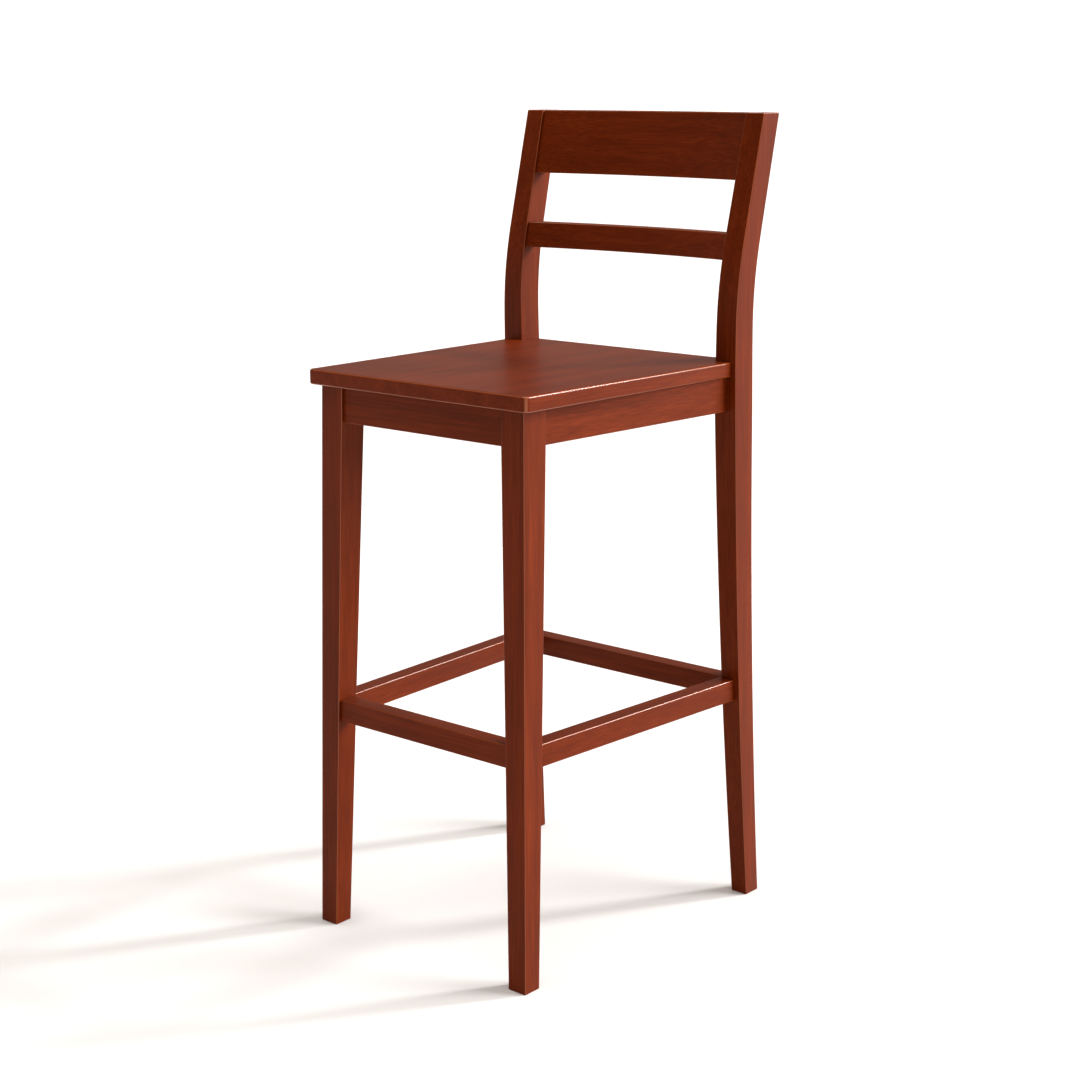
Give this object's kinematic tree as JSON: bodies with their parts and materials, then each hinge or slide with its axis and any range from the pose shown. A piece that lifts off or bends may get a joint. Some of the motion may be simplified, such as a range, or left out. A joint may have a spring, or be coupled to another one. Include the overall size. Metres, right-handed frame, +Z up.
{
  "type": "bar stool with footrest",
  "caption": "Tall wooden bar stool: flat board seat, low two-rail back on raked posts, tapered front legs and stretchers all round, the front one a footrest.",
  "frame": {"origin": "middle of the outline seen from above, on the floor under the four feet", "axes": "+Z up; the sitter faces -Y, so the back rails are at +Y; +X is to the right when looking at the front of the back rest from the front legs"},
  "size_m": [0.421, 0.4969, 1.0815],
  "materials": {
    "stained_wood": "red-brown stain under a satin clear lacquer",
    "bare_wood": "unfinished pale hardwood",
    "zinc_steel": "zinc plated"
  },
  "bodies": {
    "root": {"back_apron": "stained_wood", "back_apron_post_dowel_left_lower": "bare_wood", "back_apron_post_dowel_left_upper": "bare_wood", "back_apron_post_dowel_right_lower": "bare_wood", "back_apron_post_dowel_right_upper": "bare_wood", "back_post_left": "stained_wood", "back_post_right": "stained_wood", "back_slat": "stained_wood", "back_slat_post_dowel_left_lower": "bare_wood", "back_slat_post_dowel_left_upper": "bare_wood", "back_slat_post_dowel_right_lower": "bare_wood", "back_slat_post_dowel_right_upper": "bare_wood", "back_stretcher": "stained_wood", "block_cross_screw_back_left": "zinc_steel", "block_cross_screw_back_right": "zinc_steel", "block_cross_screw_front_left": "zinc_steel", "block_cross_screw_front_right": "zinc_steel", "block_side_screw_back_left": "zinc_steel", "block_side_screw_back_right": "zinc_steel", "block_side_screw_front_left": "zinc_steel", "block_side_screw_front_right": "zinc_steel", "corner_block_back_left": "bare_wood", "corner_block_back_right": "bare_wood", "corner_block_front_left": "bare_wood", "corner_block_front_right": "bare_wood", "footrest": "stained_wood", "front_apron": "stained_wood", "front_apron_leg_dowel_left_lower": "bare_wood", "front_apron_leg_dowel_left_upper": "bare_wood", "front_apron_leg_dowel_right_lower": "bare_wood", "front_apron_leg_dowel_right_upper": "bare_wood", "front_leg_left": "stained_wood", "front_leg_right": "stained_wood", "seat_panel": "stained_wood", "seat_screw_back_left": "zinc_steel", "seat_screw_back_right": "zinc_steel", "seat_screw_front_left": "zinc_steel", "seat_screw_front_right": "zinc_steel", "side_apron_left": "stained_wood", "side_apron_leg_dowel_left_lower": "bare_wood", "side_apron_leg_dowel_left_upper": "bare_wood", "side_apron_leg_dowel_right_lower": "bare_wood", "side_apron_leg_dowel_right_upper": "bare_wood", "side_apron_post_dowel_left_lower": "bare_wood", "side_apron_post_dowel_left_upper": "bare_wood", "side_apron_post_dowel_right_lower": "bare_wood", "side_apron_post_dowel_right_upper": "bare_wood", "side_apron_right": "stained_wood", "side_stretcher_left": "stained_wood", "side_stretcher_right": "stained_wood", "top_rail": "stained_wood", "top_rail_post_dowel_left_lower": "bare_wood", "top_rail_post_dowel_left_upper": "bare_wood", "top_rail_post_dowel_right_lower": "bare_wood", "top_rail_post_dowel_right_upper": "bare_wood"}
  },
  "joints": []
}
